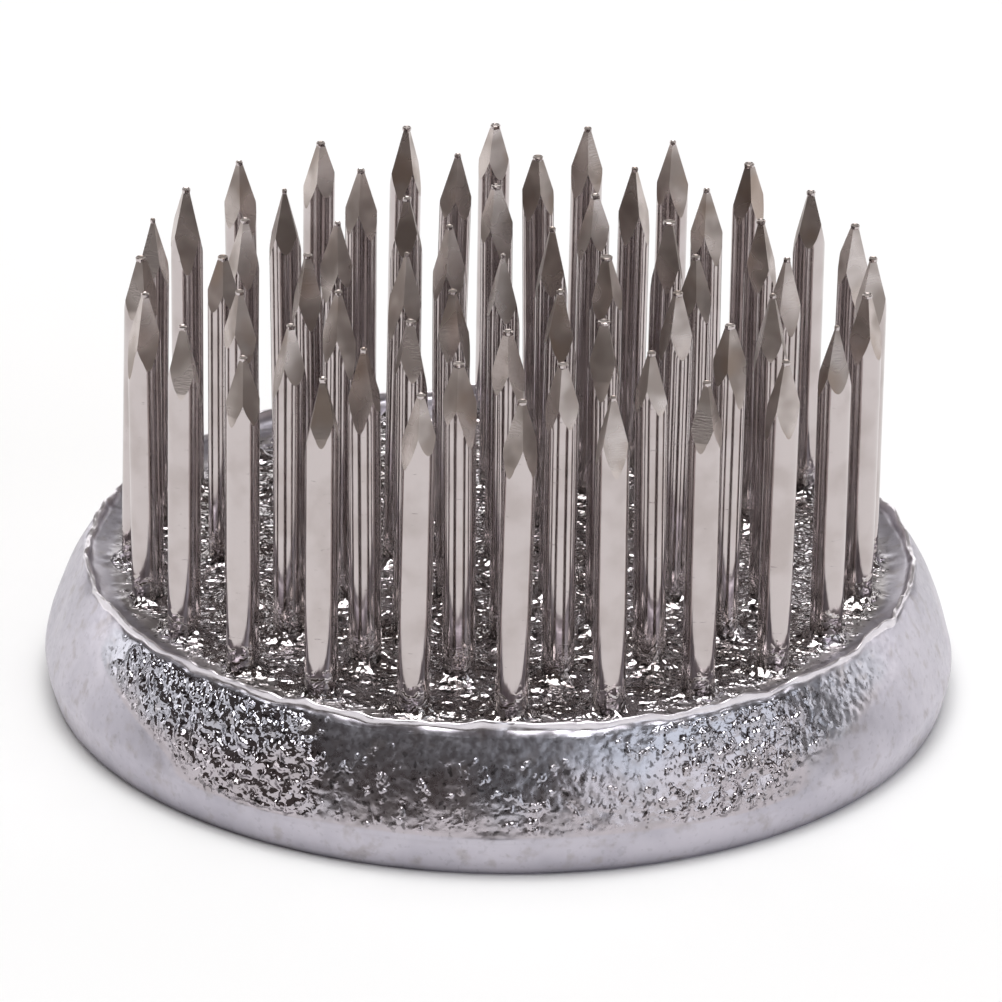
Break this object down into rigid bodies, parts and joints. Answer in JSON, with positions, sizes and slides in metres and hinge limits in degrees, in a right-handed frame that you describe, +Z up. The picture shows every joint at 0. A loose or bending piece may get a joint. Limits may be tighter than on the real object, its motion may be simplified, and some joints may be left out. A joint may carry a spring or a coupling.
{
  "type": "flower frog",
  "caption": "Round heavy cast base holding a dense bed of upright sharp pins, set in water in a shallow vessel to hold cut flower stems.",
  "frame": {"origin": "middle of the flat underside", "axes": "+Z up along the pins, square to the underside; +X through the first pin of every ring"},
  "size_m": [0.035, 0.035, 0.0175],
  "materials": {
    "cast_alloy": "bright as-cast lead alloy with a faint lilac tint, rough and pitted on the flank, satin on the foot band",
    "plated_steel": "bright nickel-plated drawn wire with fine draw marks, ground points"
  },
  "bodies": {
    "root": {"base_casting": "cast_alloy", "middle_pin_row": "plated_steel", "pin_ring1_02": "plated_steel", "pin_ring1_03": "plated_steel", "pin_ring1_05": "plated_steel", "pin_ring1_06": "plated_steel", "pin_ring2_01": "plated_steel", "pin_ring2_02": "plated_steel", "pin_ring2_03": "plated_steel", "pin_ring2_04": "plated_steel", "pin_ring2_05": "plated_steel", "pin_ring2_06": "plated_steel", "pin_ring2_07": "plated_steel", "pin_ring2_08": "plated_steel", "pin_ring2_09": "plated_steel", "pin_ring2_10": "plated_steel", "pin_ring2_11": "plated_steel", "pin_ring2_12": "plated_steel", "pin_ring3_01": "plated_steel", "pin_ring3_02": "plated_steel", "pin_ring3_03": "plated_steel", "pin_ring3_04": "plated_steel", "pin_ring3_05": "plated_steel", "pin_ring3_06": "plated_steel", "pin_ring3_07": "plated_steel", "pin_ring3_08": "plated_steel", "pin_ring3_09": "plated_steel", "pin_ring3_10": "plated_steel", "pin_ring3_11": "plated_steel", "pin_ring3_12": "plated_steel", "pin_ring3_13": "plated_steel", "pin_ring3_14": "plated_steel", "pin_ring3_15": "plated_steel", "pin_ring3_16": "plated_steel", "pin_ring3_17": "plated_steel", "pin_ring3_18": "plated_steel", "pin_ring4_01": "plated_steel", "pin_ring4_02": "plated_steel", "pin_ring4_03": "plated_steel", "pin_ring4_04": "plated_steel", "pin_ring4_05": "plated_steel", "pin_ring4_06": "plated_steel", "pin_ring4_07": "plated_steel", "pin_ring4_08": "plated_steel", "pin_ring4_09": "plated_steel", "pin_ring4_10": "plated_steel", "pin_ring4_11": "plated_steel", "pin_ring4_12": "plated_steel", "pin_ring4_13": "plated_steel", "pin_ring4_14": "plated_steel", "pin_ring4_15": "plated_steel", "pin_ring4_16": "plated_steel", "pin_ring4_17": "plated_steel", "pin_ring4_18": "plated_steel", "pin_ring4_19": "plated_steel", "pin_ring4_20": "plated_steel", "pin_ring4_21": "plated_steel", "pin_ring4_22": "plated_steel", "pin_ring4_23": "plated_steel", "pin_ring4_24": "plated_steel"}
  },
  "joints": []
}
